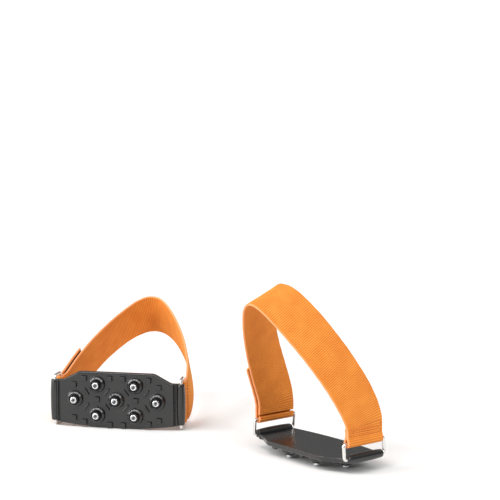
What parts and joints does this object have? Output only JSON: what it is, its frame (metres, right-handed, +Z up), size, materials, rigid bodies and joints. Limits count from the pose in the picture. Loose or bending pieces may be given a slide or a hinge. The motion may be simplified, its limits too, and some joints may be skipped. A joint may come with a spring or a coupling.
{
  "type": "shoe ice cleats",
  "caption": "Pair of strap-on mid-sole ice cleats: studded rubber plate, wire rings in end rolls and an elastic instep strap with hook-and-loop closure.",
  "frame": {"origin": "on the ground, under the middle of the standing cleat's plate, midway between its end rolls", "axes": "+Z up; +Y toward the toe side of the standing cleat; +X toward its closing side. The tipped cleat rests on its heel edge beyond +X with its toe side up. The picture's view looks along azimuth 231 degrees, where azimuth 0 looks along +Y and 90 along -X."},
  "size_m": [0.3025, 0.1313, 0.1298],
  "materials": {
    "black_rubber": "moulded, satin",
    "stud_steel": "zinc plated, bright",
    "carbide": "sintered carbide, dull grey",
    "ring_steel": "nickel plated wire",
    "orange_webbing": "woven elastic webbing with fine cross ribs",
    "orange_thread": "polyester sewing thread",
    "loop_tape": "brushed loop pile",
    "hook_tape": "moulded hook tape"
  },
  "bodies": {
    "standing_base": {"standing_plate": "black_rubber", "standing_stud_1": "stud_steel", "standing_stud_2": "stud_steel", "standing_stud_3": "stud_steel", "standing_stud_4": "stud_steel", "standing_stud_5": "stud_steel", "standing_stud_6": "stud_steel", "standing_stud_7": "stud_steel", "standing_carbide_pins": "carbide"},
    "standing_sewn_ring": {"standing_ring_sewn": "ring_steel"},
    "standing_strap": {"standing_strap": "orange_webbing", "standing_strap_stitching": "orange_thread", "standing_loop_patch": "loop_tape"},
    "standing_closing_ring": {"standing_ring_closing": "ring_steel"},
    "standing_tab": {"standing_tab": "orange_webbing", "standing_hook_patch": "hook_tape", "standing_tab_stitching": "orange_thread"},
    "tipped_base": {"tipped_plate": "black_rubber", "tipped_stud_1": "stud_steel", "tipped_stud_2": "stud_steel", "tipped_stud_3": "stud_steel", "tipped_stud_4": "stud_steel", "tipped_stud_5": "stud_steel", "tipped_stud_6": "stud_steel", "tipped_stud_7": "stud_steel", "tipped_carbide_pins": "carbide"},
    "tipped_sewn_ring": {"tipped_ring_sewn": "ring_steel"},
    "tipped_strap": {"tipped_strap": "orange_webbing", "tipped_strap_stitching": "orange_thread", "tipped_loop_patch": "loop_tape"},
    "tipped_closing_ring": {"tipped_ring_closing": "ring_steel"},
    "tipped_tab": {"tipped_tab": "orange_webbing", "tipped_hook_patch": "hook_tape", "tipped_tab_stitching": "orange_thread"}
  },
  "joints": [
    {"name": "standing_sewn_ring_swing", "type": "hinge", "parent": "standing_base", "child": "standing_sewn_ring", "pos_m": [-0.049, 0, 0.0114], "axis": [0, -1, 0], "range_deg": [0, 25]},
    {"name": "standing_strap_swing", "type": "hinge", "parent": "standing_sewn_ring", "child": "standing_strap", "pos_m": [-0.04804, 0, 0.02236], "axis": [0, -1, 0], "range_deg": [0, 80]},
    {"name": "standing_closing_ring_swing", "type": "hinge", "parent": "standing_base", "child": "standing_closing_ring", "pos_m": [0.049, 0, 0.0114], "axis": [0, 1, 0], "range_deg": [0, 20]},
    {"name": "standing_tab_peel", "type": "hinge", "parent": "standing_closing_ring", "child": "standing_tab", "pos_m": [0.04804, 0, 0.02236], "axis": [0, 1, 0], "range_deg": [0, 95]},
    {"name": "tipped_sewn_ring_swing", "type": "hinge", "parent": "tipped_base", "child": "tipped_sewn_ring", "pos_m": [0.12897, 0.02452, 0.0198], "axis": [0, 0, -1], "range_deg": [0, 25]},
    {"name": "tipped_strap_swing", "type": "hinge", "parent": "tipped_sewn_ring", "child": "tipped_strap", "pos_m": [0.13675, 0.01674, 0.0198], "axis": [0, 0, -1], "range_deg": [0, 80]},
    {"name": "tipped_closing_ring_swing", "type": "hinge", "parent": "tipped_base", "child": "tipped_closing_ring", "pos_m": [0.20404, 0.08751, 0.0198], "axis": [0, 0, 1], "range_deg": [0, 20]},
    {"name": "tipped_tab_peel", "type": "hinge", "parent": "tipped_closing_ring", "child": "tipped_tab", "pos_m": [0.21035, 0.0785, 0.0198], "axis": [0, 0, 1], "range_deg": [0, 95]},
    {"name": "tipped_lift", "type": "slide", "parent": "standing_base", "child": "tipped_base", "axis": [0, 0, 1], "range_m": [0, 0.15]}
  ]
}
